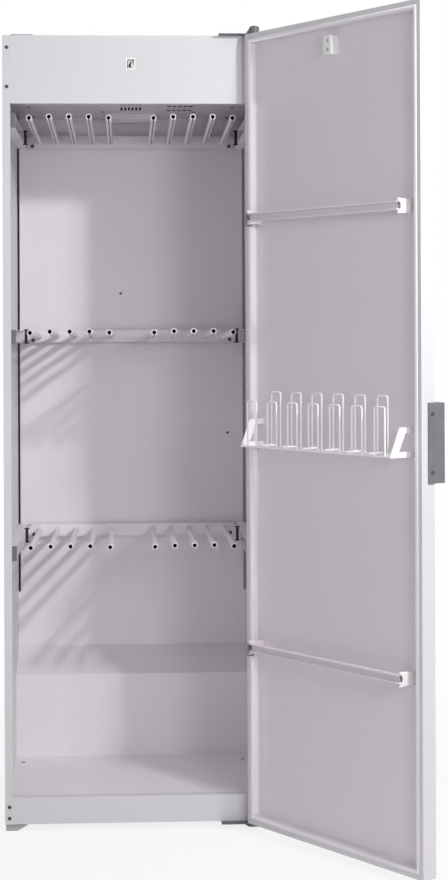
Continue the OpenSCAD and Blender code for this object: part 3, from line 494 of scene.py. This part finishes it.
def join_rings(bm, rings, close=(0, -1)):
    """Faces from each ring of points to the next, and over the rings that are to be closed."""
    count = len(rings[0])
    for low, high in zip(rings, rings[1:]):
        for k in range(count):
            n = (k + 1) % count
            if low[k] is low[n]:
                bm.faces.new((low[k], high[n], high[k]))
            else:
                bm.faces.new((low[k], low[n], high[n], high[k]))
    for end in close:
        bm.faces.new(rings[end])


def revolve(bm, matrix, profile, around=28, close=(0, -1)):
    """Turns a profile of (radius, height) points about the matrix's Z axis."""
    rings = [
        points_at(bm, matrix, [(radius * c, radius * s, height) for c, s in circle(around)])
        for radius, height in profile
    ]
    join_rings(bm, rings, close)


def rounded_plate(bm, matrix, width, height, thick, radius, edge=0.0006, steps=5):
    """A plate with rounded corners and a softened front edge, from z = 0 to z = thick."""

    def outline(inset, z):
        r = max(radius - inset, 0.0001)
        points = []
        for cx, cy, start in ((1, 1, 0), (-1, 1, 90), (-1, -1, 180), (1, -1, 270)):
            for k in range(steps + 1):
                a = math.radians(start + 90 * k / steps)
                points.append((
                    cx * (width / 2 - inset - r) + r * math.cos(a),
                    cy * (height / 2 - inset - r) + r * math.sin(a),
                    z,
                ))
        return points_at(bm, matrix, points)

    join_rings(bm, [
        outline(0, 0), outline(0, thick - edge),
        outline(edge * 0.3, thick - edge * 0.3), outline(edge, thick),
    ])


def prism(bm, x_low, x_high, outline):
    """A solid of the given (y, z) outline between two values of x."""
    join_rings(bm, [
        points_at(bm, Matrix(), [(x, y, z) for y, z in outline]) for x in (x_low, x_high)
    ])


def sweep_frame(bm, matrix, half_w, low, high, profile):
    """Runs a profile of (outward offset, y) points round a rectangle with mitred corners."""
    rows = [
        points_at(bm, matrix, [
            (side * (half_w + offset), y, high + offset if at_top else low - offset)
            for offset, y in profile
        ])
        for side, at_top in ((-1, False), (1, False), (1, True), (-1, True))
    ]
    join_rings(bm, rows + rows[:1], close=())


SCREW_RINGS = (0.0, 0.12, 0.2, 0.3, 0.4, 0.5, 0.58, 0.68, 0.78, 0.88, 0.96, 1.0)
SCREW_SIDES, SCREW_TURN = 32, 0.4
SCREW_STUB = 0.004


def cross_depth(x, y, reach, width):
    """Depth of a cross recess at a point of a screw's head, from 0 to 1."""
    best = 0.0
    for a, b in ((x, y), (y, x)):
        if abs(a) < reach and abs(b) < width:
            from_end = min(1, (reach - abs(a)) / (0.35 * reach))
            from_wall = min(1, (width - abs(b)) / (0.3 * width))
            best = max(best, from_end * from_wall)
    return best


def screw_head(bm, matrix, radius, height):
    """A domed pan head with a cross recess, standing on its seat, over a stub of its shank."""
    compass = circle(SCREW_SIDES, SCREW_TURN)
    rings = []
    for t in SCREW_RINGS:
        points = []
        for c, s in compass if t else compass[:1]:
            x, y = t * radius * c, t * radius * s
            dip = cross_depth(x, y, radius * 0.56, radius * 0.15) * height * 0.6
            points.append((x, y, height - height * 0.42 * t ** 3.2 - dip))
        ring = points_at(bm, matrix, points)
        rings.append(ring if t else ring * SCREW_SIDES)
    for r, z in ((radius, 0.0), (0.5 * radius, 0.0), (0.5 * radius, -SCREW_STUB)):
        rings.append(points_at(bm, matrix, [(r * c, r * s, z) for c, s in compass]))
    join_rings(bm, rings, close=(-1,))


def finish_bm(bm, name, material, body, smooth=True):
    """Makes a piece of the faces built so far, and lets it ride on a body of the part."""
    bmesh.ops.recalc_face_normals(bm, faces=bm.faces)
    mesh = bpy.data.meshes.new(name)
    bm.to_mesh(mesh)
    bm.free()
    obj = bpy.data.objects.new(name, mesh)
    link(obj)
    mesh.materials.append(material)
    mesh.polygons.foreach_set("use_smooth", [smooth] * len(mesh.polygons))
    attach(obj, body)
    return obj


# ---------- screws of the cabinet and the handle ----------

TOP_Z = 1.844                   # the top panel's upper face
FOOT_H = 0.017
CEILING_Z = 1.7115              # the ceiling's face towards the drying space
BACK_Y = 0.558                  # the inner back panel's front face
REAR_Y = 0.5688                 # the rear panel's outer face
HINGE_SCREW_X, HINGE_SCREW_YS, HINGE_PLATE_T = 0.2195, (0.018, 0.046), 0.0025

# The screws' places on their seats, outward direction, head radius and head height
BODY_SCREWS = (
    ([(-0.287, 0.0, z) for z in (1.816, 1.725, 0.057, 0.031)], (0, -1, 0), 0.0042, 0.0018),
    (
        [
            (x, y, CEILING_Z) for x, y in (
                (-0.251, 0.29), (0.251, 0.29), (-0.25, 0.51), (0.25, 0.51), (-0.07, 0.392),
                (0.158, 0.392))
        ],
        (0, 0, -1), 0.004, 0.002,
    ),
    ([(-0.028, BACK_Y, 1.256), (0.25, BACK_Y, 0.891)], (0, -1, 0), 0.0034, 0.0016),
    (
        [(HINGE_SCREW_X, y, TOP_Z + HINGE_PLATE_T) for y in HINGE_SCREW_YS],
        (0, 0, 1), 0.0046, 0.0022,
    ),
    (
        [(HINGE_SCREW_X, y, FOOT_H - HINGE_PLATE_T) for y in HINGE_SCREW_YS],
        (0, 0, -1), 0.0046, 0.0022,
    ),
    (
        [(x, REAR_Y, z) for x in (-0.262, 0.262) for z in (0.1, 0.52, 0.94, 1.36, 1.78)],
        (0, 1, 0), 0.0042, 0.002,
    ),
)
HANDLE_FACE_X, HANDLE_SCREW_Y, HANDLE_SCREW_ZS = -0.3015, -0.031, (0.984, 0.862)

bm = bmesh.new()
for places, out, radius, height in BODY_SCREWS:
    for place in places:
        screw_head(bm, facing(place, out), radius, height)
piece = finish_bm(bm, "screws_body", DARK_ZINC, "cabinet")
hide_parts("body_screws")

bm = bmesh.new()
for z in HANDLE_SCREW_ZS:
    seat = facing((HANDLE_FACE_X, HANDLE_SCREW_Y, z), (-1, 0, 0))
    screw_head(bm, DOOR_MATRIX @ seat, radius=0.0042, height=0.0022)
piece = finish_bm(bm, "screws_handle", DARK_ZINC, "door")
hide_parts("handle_screws")


# ---------- racks ----------

RACK_Z = {"upper": 1.649, "middle": 1.145, "lower": 0.641}
PEG_FIRST_X, PEG_PITCH, PEGS_A_SIDE = 0.0527, 0.0465, 5
PEG_RISE, END_PEG_RISE = math.radians(1.4), math.radians(1.1)
PEGS = [
    (side * (PEG_FIRST_X + i * PEG_PITCH), END_PEG_RISE if i in (0, PEGS_A_SIDE - 1) else PEG_RISE)
    for side in (-1, 1) for i in range(PEGS_A_SIDE)
]
PEG_ROOT_Y, PEG_L, PEG_R = 0.551, 0.5, 0.007
BORE_R, BORE_WALL, BORE_DEPTH, BORE_INSET = 0.00468, 0.0004, 0.045, 0.0012
BORE = [
    (BORE_R, -BORE_DEPTH), (BORE_R, 0.0), (BORE_R - BORE_WALL, 0.0),
    (BORE_R - BORE_WALL, 0.001 - BORE_DEPTH),
]
WELD_R = 0.0022
WELD_SINK_R, WELD_SINK_H = 0.0002, 0.0003
WELD = [
    (PEG_R + WELD_R * (1 - math.sin(a)) - WELD_SINK_R, WELD_R * (1 - math.cos(a)) - WELD_SINK_H)
    for a in (math.pi / 2 * k / 8 for k in range(9))
]
BAR_FACE_Y, BAR_SCREW_X, BAR_SCREW_DROP = 0.541, 0.2555, 0.0102
ARM_IN_X, ARM_OUT_X, ARM_FRONT_Y, ARM_H = 0.2699, 0.2923, 0.4, 0.027
ARM_MIDDLE_X, ARM_W = (ARM_IN_X + ARM_OUT_X) / 2, ARM_OUT_X - ARM_IN_X
PLUG_L, PLUG_PLAY = 0.006, 0.0032
FORWARD = (0, -1, 0)


def on_peg(x, rise, rack_z, distance):
    """A frame on a peg's axis, this far from its root, with Z towards the peg's open end."""
    along = Vector((0, -math.cos(rise), math.sin(rise)))
    return facing(Vector((x, PEG_ROOT_Y, rack_z)) + along * distance, along)


for rack, rack_z in RACK_Z.items():
    body = f"rack_{rack}"

    # A near-black sleeve inside each tube's open end: painted shade, standing in for the shade deep
    # in the bore
    bm = bmesh.new()
    for x, rise in PEGS:
        revolve(bm, on_peg(x, rise, rack_z, PEG_L - BORE_INSET), BORE)
    finish_bm(bm, f"peg_bore_painted_shade_{rack}", DARK_AND_PAINTED_SHADE, body)

    # Weld beads where the tubes go through the bar
    bm = bmesh.new()
    for x, rise in PEGS:
        to_face = (PEG_ROOT_Y - BAR_FACE_Y) / math.cos(rise)
        revolve(bm, on_peg(x, rise, rack_z, to_face), WELD, around=36, close=())
    finish_bm(bm, f"peg_welds_{rack}", WHITE_INSIDE_PAINTED_LIGHT, body)

    # Dark screws that hold the bar to its arms
    bm = bmesh.new()
    for side in (-1, 1):
        place = (side * BAR_SCREW_X, BAR_FACE_Y, rack_z - BAR_SCREW_DROP)
        screw_head(bm, facing(place, FORWARD), radius=0.0046, height=0.0024)
    finish_bm(bm, f"bar_screws_{rack}", DARK_ZINC, body)

    # Caps that close the front ends of the arms' channels, each on a plug
    bm = bmesh.new()
    for side in (-1, 1):
        x = side * ARM_MIDDLE_X
        plug = facing((x, ARM_FRONT_Y + PLUG_L, rack_z), FORWARD)
        rounded_plate(bm, plug, ARM_W - PLUG_PLAY, ARM_H - PLUG_PLAY, PLUG_L, radius=0.0006)
        cap = facing((x, ARM_FRONT_Y, rack_z), FORWARD)
        rounded_plate(bm, cap, ARM_W, ARM_H, thick=0.0015, radius=0.0012)
    finish_bm(bm, f"arm_caps_{rack}", CAP_WHITE, body, smooth=False)


# ---------- door ----------

# Sockets at the hinge end of the two door bars; places on the door are given for the shut door
SOCKET_X, SOCKET_Y, SOCKET_ZS = 0.2645, 0.012, (0.425, 1.411)
INWARD = (-1, 0, 0)             # away from the hinge side

bm = bmesh.new()
for z in SOCKET_ZS:
    socket = DOOR_MATRIX @ facing((SOCKET_X, SOCKET_Y, z), INWARD)
    rounded_plate(bm, socket, width=0.018, height=0.028, thick=0.0035, radius=0.003)
finish_bm(bm, "bar_end_sockets", GREY, "door", smooth=False)

# A rolled bead along the inner edge of the door's rim, which stays clear of the cabinet's front. It
# is painted whiter than the door's skin: a painted highlight along the rim
RIM_Y, RIM_IN_X, RIM_LOW, RIM_HIGH = -0.004, 0.2775, 0.0376, 1.8234
BEAD_W, BEAD_H, BEAD_LAP = 0.0095, 0.0024, 0.0006
BEAD = [
    (BEAD_W * (1 - math.cos(a)) / 2 - BEAD_LAP, RIM_Y + BEAD_H * math.sin(a))
    for a in (math.pi * k / 10 for k in range(11))
] + [
    (BEAD_W - BEAD_LAP, RIM_Y - 0.0003), (-BEAD_LAP, RIM_Y - 0.0066), (-BEAD_LAP, RIM_Y - 0.003),
]

bm = bmesh.new()
sweep_frame(bm, DOOR_MATRIX, RIM_IN_X, RIM_LOW, RIM_HIGH, BEAD)
finish_bm(bm, "rim_bead", WHITE_PAINTED_HIGHLIGHT, "door")

# A whiter strip on the liner's side wall at the hinge: a painted highlight where the lamps light
# the wall
LINER_SHEET = 0.0012
HIGHLIGHT_STRIP_Y, HIGHLIGHT_STRIP_W, HIGHLIGHT_STRIP_T, HIGHLIGHT_STRIP_SHORT = -0.012, 0.0125, 0.0006, 0.008

bm = bmesh.new()
highlight_strip = DOOR_MATRIX @ facing(
    (RIM_IN_X - LINER_SHEET, HIGHLIGHT_STRIP_Y, (RIM_LOW + RIM_HIGH) / 2), INWARD)
highlight_strip_l = RIM_HIGH - RIM_LOW - HIGHLIGHT_STRIP_SHORT
rounded_plate(bm, highlight_strip, HIGHLIGHT_STRIP_W, highlight_strip_l, HIGHLIGHT_STRIP_T, radius=0.002, edge=0.0002)
finish_bm(bm, "liner_painted_highlight", WHITE_PAINTED_HIGHLIGHT, "door", smooth=False)


# ---------- glove holder ----------

WIRE_R = 0.002
LOOP_LEG_X = 0.0163             # half the width of a loop
LOOP_BEND = 0.0055
LOOP_FOOT_Z = 0.8966
LOOP_PITCH = 0.07255
LOOP_FIRST_X = -0.2148
# Each row's y on the shut door, its height, and its places along the door
LOOP_ROWS = {
    "low": (0.0385, 0.103, [LOOP_FIRST_X + i * LOOP_PITCH for i in range(7)]),
    "tall": (-0.0024, 0.124, [LOOP_FIRST_X + (i + 0.5) * LOOP_PITCH for i in range(6)]),
}
LOOP_WELD = [
    (0.0034, -0.001), (0.0033, -0.0002), (0.0029, 0.0007), (0.0024, 0.0013), (0.0021, 0.0021),
    (0.0018, 0.0022),
]


def loop_path(x, y, height):
    """The centre line of one upright wire loop with two tight bends at its top."""
    top = height - 0.0022
    points = [(-LOOP_LEG_X, 0.0), (-LOOP_LEG_X, top / 2)]
    for side, start in ((-1, 180), (1, 90)):
        for k in range(7):
            a = math.radians(start - 15 * k)
            points.append((
                side * (LOOP_LEG_X - LOOP_BEND) + LOOP_BEND * math.cos(a),
                top - LOOP_BEND + LOOP_BEND * math.sin(a),
            ))
    points += [(LOOP_LEG_X, top / 2), (LOOP_LEG_X, 0.0)]
    return [DOOR_MATRIX @ Vector((x + dx, y, LOOP_FOOT_Z + dz)) for dx, dz in points]


for row, (y, height, places) in LOOP_ROWS.items():
    curve = bpy.data.curves.new(f"glove_wires_{row}", "CURVE")
    curve.dimensions = "3D"
    curve.bevel_depth = WIRE_R
    curve.bevel_resolution = 5
    curve.use_fill_caps = True
    for x in places:
        path = loop_path(x, y, height)
        spline = curve.splines.new("POLY")
        spline.points.add(len(path) - 1)
        for point, co in zip(spline.points, path):
            point.co = (*co, 1)
        spline.use_smooth = True
    curve.materials.append(WIRE_WHITE)
    wires = bpy.data.objects.new(f"glove_wires_{row}", curve)
    link(wires)
    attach(wires, "door")
    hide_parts(f"glove_{row}_loops")

    # Weld beads at the loops' feet
    bm = bmesh.new()
    for x in places:
        for side in (-1, 1):
            foot = DOOR_MATRIX @ Vector((x + side * LOOP_LEG_X, y, LOOP_FOOT_Z))
            revolve(bm, Matrix.Translation(foot), LOOP_WELD, around=20)
    finish_bm(bm, f"loop_welds_{row}", WIRE_WHITE, "door")


# ---------- air slots and vents ----------

# Near-black mats above the ceiling's two rows of slots, and above its round vents: painted shade,
# seen through the openings
MAT_Z, MAT_T = 1.7128, 0.0032
SLOT_MATS = ((0.1785, 0.2625), (0.2915, 0.3755))
VENT_X, VENT_PITCH, VENT_YS = 0.121, 0.0133, (0.27, 0.353)
# Each mat's middle and its width and length
MATS = [((0, (low + high) / 2), 0.062, high - low) for low, high in SLOT_MATS]
MATS.append(((VENT_X, sum(VENT_YS) / 2), 0.07, 0.106))

bm = bmesh.new()
for (x, y), width, length in MATS:
    at_mat = Matrix.Translation((x, y, MAT_Z))
    rounded_plate(bm, at_mat, width, length, MAT_T, radius=0.004, edge=0.0012)
finish_bm(bm, "slot_mats_painted_shade", DARK_AND_PAINTED_SHADE, "cabinet", smooth=False)

# Dark grommets in the two rows of round vents
GROMMET = [
    (0.0034, -0.0014), (0.0045, -0.0001), (0.0047, 0.0006), (0.0042, 0.0014), (0.0034, 0.0016),
    (0.0029, 0.0012), (0.0028, -0.0012),
]

bm = bmesh.new()
for y in VENT_YS:
    for i in range(-2, 3):
        revolve(bm, facing((VENT_X + i * VENT_PITCH, y, CEILING_Z), (0, 0, -1)), GROMMET, around=24)
finish_bm(bm, "vent_grommets", DARK_AND_PAINTED_SHADE, "cabinet")

# A near-black strip on the rear panel, behind the air slot at the back's left corner: painted shade
# in the slot
SLOT_SHADE_X, SLOT_SHADE_Y, SLOT_SHADE_LOW, SLOT_SHADE_HIGH = -0.2943, 0.5675, 0.48, 1.71

bm = bmesh.new()
strip = facing((SLOT_SHADE_X, SLOT_SHADE_Y, (SLOT_SHADE_LOW + SLOT_SHADE_HIGH) / 2), FORWARD)
rounded_plate(
    bm, strip, width=0.0028, height=SLOT_SHADE_HIGH - SLOT_SHADE_LOW, thick=0.0034, radius=0.0012, edge=0.0008)
finish_bm(bm, "corner_slot_painted_shade", DARK_AND_PAINTED_SHADE, "cabinet", smooth=False)


# ---------- door switch ----------

SWITCH_Z = 1.7785
TONGUE_LOW, TONGUE_HIGH = SWITCH_Z - 0.01, SWITCH_Z + 0.01
COVER_LOW, COVER_HIGH = SWITCH_Z - 0.0098, SWITCH_Z + 0.0098

# The tongue: a wedge, and beside it a recessed plate with a thin cover
bm = bmesh.new()
prism(bm, 0.0005, 0.0075, [
    (0.001, SWITCH_Z - 0.007), (0.004, TONGUE_LOW), (0.02, TONGUE_LOW), (0.02, TONGUE_HIGH),
    (0.014, TONGUE_HIGH)])
prism(bm, -0.0058, 0.0004, [
    (0.0125, TONGUE_LOW), (0.02, TONGUE_LOW), (0.02, TONGUE_HIGH), (0.0125, TONGUE_HIGH)])
prism(bm, -0.0056, 0.0006, [
    (0.0121, COVER_LOW), (0.0126, COVER_LOW), (0.0126, COVER_HIGH), (0.0121, COVER_HIGH)])
piece = finish_bm(bm, "switch_tongue", PLASTIC_WHITE, "plunger", smooth=False)
round_edges(piece, 0.0006)
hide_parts("switch_plunger")

# A near-black patch beside the wedge, narrow at its top: the wedge's painted shadow
TONGUE_SHADOW = ((0.0004, 0.0084), (-0.0036, 0.0012), (-0.0052, -0.0044), (0.0004, -0.0078))
TONGUE_SHADOW_FRONT_Y, TONGUE_SHADOW_REAR_Y = 0.0114, 0.0120

bm = bmesh.new()
join_rings(bm, [
    points_at(bm, Matrix(), [(x, y, SWITCH_Z + z) for x, z in TONGUE_SHADOW])
    for y in (TONGUE_SHADOW_FRONT_Y, TONGUE_SHADOW_REAR_Y)
])
finish_bm(bm, "switch_painted_shadow", DARK_AND_PAINTED_SHADE, "plunger", smooth=False)


# ---------- control panel on the door's front ----------

# The panel's frame: X to the right and Y up as it is read with the door shut, Z outwards
PANEL_Y, PANEL_Z = -0.044, 1.7654
PANEL_MATRIX = (
    DOOR_MATRIX @ Matrix.Translation((0, PANEL_Y, PANEL_Z))
    @ Matrix.Rotation(math.radians(90), 4, "X")
)


def on_panel(x, y, z):
    return PANEL_MATRIX @ Matrix.Translation((x, y, z))


bm = bmesh.new()
rounded_plate(
    bm, on_panel(-0.061, 0, -0.0008), width=0.0456, height=0.0236, thick=0.0007, radius=0.0008,
    edge=0.0002)
finish_bm(bm, "display_pane", DISPLAY, "door", smooth=False)

# Two seven-segment digits: each one's place and the segments a to g that are lit
DIGITS = ((-0.0655, "acdefg"), (-0.0565, "abcdef"))
# Each segment's place as shares of the digit's size, and whether it stands upright
SEGMENT_AT = {
    "a": (0, 1, False), "b": (0.5, 0.5, True), "c": (0.5, -0.5, True), "d": (0, -1, False),
    "e": (-0.5, -0.5, True), "f": (-0.5, 0.5, True), "g": (0, 0, False),
}
DIGIT_W, DIGIT_HALF_H = 0.0058, 0.00576
UPRIGHT_SIZE, LEVEL_SIZE = (0.0009, 0.004752), (0.0044, 0.0009)

bm = bmesh.new()
for x, segments in DIGITS:
    for segment in segments:
        across, up, upright = SEGMENT_AT[segment]
        centre = on_panel(x + across * DIGIT_W, up * DIGIT_HALF_H, -0.0002)
        size = UPRIGHT_SIZE if upright else LEVEL_SIZE
        rounded_plate(bm, centre, *size, thick=0.00022, radius=0.0003, edge=0.00005, steps=2)
finish_bm(bm, "display_digits", LAMP, "door", smooth=False)

# Ticks round the timer knob, raised a little as printed ink is; every third one is longer
TIMER_TURN = 150                # degrees from the middle to either end
TICK_COUNT, TICK_INNER_R = 13, 0.0246
# Width, length, and how far the middle stands outside the inner radius
LONG_TICK, SHORT_TICK = (0.0008, 0.0024, 0.0011), (0.0005, 0.0016, 0.0008)

bm = bmesh.new()
for i in range(TICK_COUNT):
    turn = math.radians(-TIMER_TURN + i * 2 * TIMER_TURN / (TICK_COUNT - 1))
    tick_w, tick_l, tick_out = SHORT_TICK if i % 3 else LONG_TICK
    spoke = Matrix.Rotation(-turn, 4, "Z")
    place = spoke @ Matrix.Translation((0, TICK_INNER_R + tick_out, -0.0001))
    rounded_plate(
        bm, PANEL_MATRIX @ place, tick_w, tick_l, thick=0.0002, radius=0.0002, edge=0.00005,
        steps=2)
finish_bm(bm, "timer_ticks", PRINT, "door", smooth=False)

NUMBERS = ("0", "30", "60", "90", "120")
NUMBER_SIZE, NUMBER_RAISED = 0.0042, 0.0001
NUMBER_R_ACROSS, NUMBER_R_UP = 0.029, 0.0286

for i, minutes in enumerate(NUMBERS):
    turn = math.radians(-TIMER_TURN + i * 2 * TIMER_TURN / (len(NUMBERS) - 1))
    curve = bpy.data.curves.new(f"timer_number_{minutes}", "FONT")
    curve.body = minutes
    curve.size = NUMBER_SIZE
    curve.extrude = NUMBER_RAISED
    curve.align_x, curve.align_y = "CENTER", "CENTER"
    curve.materials.append(PRINT)
    number = bpy.data.objects.new(f"timer_number_{minutes}", curve)
    link(number)
    number.matrix_world = on_panel(
        NUMBER_R_ACROSS * math.sin(turn), NUMBER_R_UP * math.cos(turn), 0)
    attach(number, "door")

# The pointer inlaid in the knob's grip
bm = bmesh.new()
rounded_plate(
    bm, on_panel(0, 0.0095, 0.0233), width=0.0016, height=0.0115, thick=0.0003, radius=0.0006,
    edge=0.0001)
finish_bm(bm, "knob_pointer", PRINT, "knob", smooth=False)

# A domed pilot lamp in a collar
LENS_R, LENS_RISE, LENS_BASE = 0.0021, 0.0012, 0.0006
COLLAR = [
    (0.0027, -0.0004), (0.0031, 0.0), (0.0031, 0.0007), (0.0028, 0.001), (0.0023, 0.001),
    (0.0022, 0.0),
]
LENS = [(LENS_R, 0.0002)] + [
    (LENS_R * math.cos(a), LENS_BASE + LENS_RISE * math.sin(a))
    for a in (math.pi / 2 * k / 8 for k in range(8))
]
at_lamp = on_panel(0.074, 0.0165, 0)

bm = bmesh.new()
revolve(bm, at_lamp, COLLAR)
finish_bm(bm, "pilot_collar", ZINC, "door")
bm = bmesh.new()
revolve(bm, at_lamp, LENS)
finish_bm(bm, "pilot_lamp", LAMP, "door")
